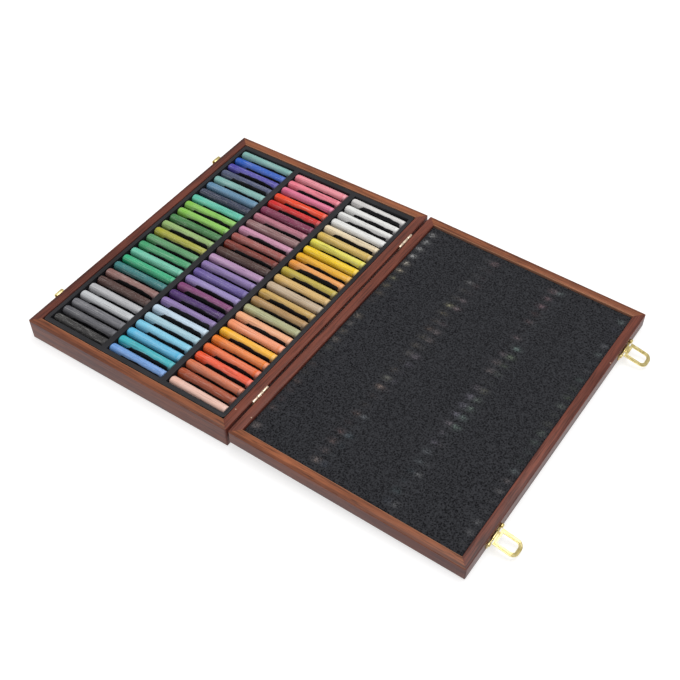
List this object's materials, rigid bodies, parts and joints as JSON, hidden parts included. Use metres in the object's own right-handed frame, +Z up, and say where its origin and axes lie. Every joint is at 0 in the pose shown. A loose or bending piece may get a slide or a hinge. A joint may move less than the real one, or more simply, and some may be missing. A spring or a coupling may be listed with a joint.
{
  "type": "hinged wooden pastel case",
  "caption": "Flat wooden case lying open on two butt hinges: a moulded tray of round pastel sticks in the base, a foam-lined lid and two swinging loop latches.",
  "frame": {"origin": "centre of the base's underside, on the table", "axes": "+X from the base across the hinge line towards the open lid, +Y to the rear along the hinge line, +Z up"},
  "size_m": [0.5519, 0.36, 0.0276],
  "materials": {
    "case_wood": "reddish brown stain under a satin varnish",
    "panel_wood": "stained thin board, satin",
    "tray": "charcoal, fine matt texture",
    "foam": "dark grey open-cell foam",
    "brass": "bright plated, lightly worn",
    "blue_pastel": "chalk stick in a matt paper sleeve",
    "green_pastel": "chalk stick in a matt paper sleeve",
    "brown_pastel": "chalk stick in a matt paper sleeve",
    "grey_pastel": "chalk stick in a matt paper sleeve",
    "pink_pastel": "chalk stick in a matt paper sleeve",
    "orange_pastel": "chalk stick in a matt paper sleeve",
    "violet_pastel": "chalk stick in a matt paper sleeve",
    "white_pastel": "chalk stick in a matt paper sleeve",
    "yellow_pastel": "chalk stick in a matt paper sleeve",
    "ochre_pastel": "chalk stick in a matt paper sleeve"
  },
  "bodies": {
    "base": {"base_front_rail": "case_wood", "base_rear_rail": "case_wood", "base_latch_rail": "case_wood", "base_hinge_rail": "case_wood", "base_panel": "panel_wood", "stick_tray": "tray", "blue_pastels": "blue_pastel", "green_pastels": "green_pastel", "brown_pastels": "brown_pastel", "grey_pastels": "grey_pastel", "pink_pastels": "pink_pastel", "orange_pastels": "orange_pastel", "violet_pastels": "violet_pastel", "white_pastels": "white_pastel", "yellow_pastels": "yellow_pastel", "ochre_pastels": "ochre_pastel", "front_hinge_base_leaf": "brass", "front_hinge_pin": "brass", "front_keeper": "brass", "rear_hinge_base_leaf": "brass", "rear_hinge_pin": "brass", "rear_keeper": "brass", "base_hinge_screws": "brass", "keeper_screws": "brass"},
    "lid": {"lid_front_rail": "case_wood", "lid_rear_rail": "case_wood", "lid_hinge_rail": "case_wood", "lid_latch_rail": "case_wood", "lid_panel": "panel_wood", "foam_pad": "foam", "front_hinge_lid_leaf": "brass", "front_latch_plate": "brass", "front_latch_pin": "brass", "rear_hinge_lid_leaf": "brass", "rear_latch_plate": "brass", "rear_latch_pin": "brass", "lid_hinge_screws": "brass", "latch_screws": "brass"},
    "front_latch_loop": {"front_latch_loop": "brass"},
    "rear_latch_loop": {"rear_latch_loop": "brass"}
  },
  "joints": [
    {"name": "lid_hinge", "type": "hinge", "parent": "base", "child": "lid", "pos_m": [0.1305, 0, 0.02615], "axis": [0, -1, 0], "range_deg": [0, 181.9]},
    {"name": "front_latch_swing", "type": "hinge", "parent": "lid", "child": "front_latch_loop", "pos_m": [0.39135, -0.1314, 0.01114], "axis": [0, -1, 0], "range_deg": [-79, 101]},
    {"name": "rear_latch_swing", "type": "hinge", "parent": "lid", "child": "rear_latch_loop", "pos_m": [0.39135, 0.1314, 0.01114], "axis": [0, -1, 0], "range_deg": [-79, 101]}
  ]
}
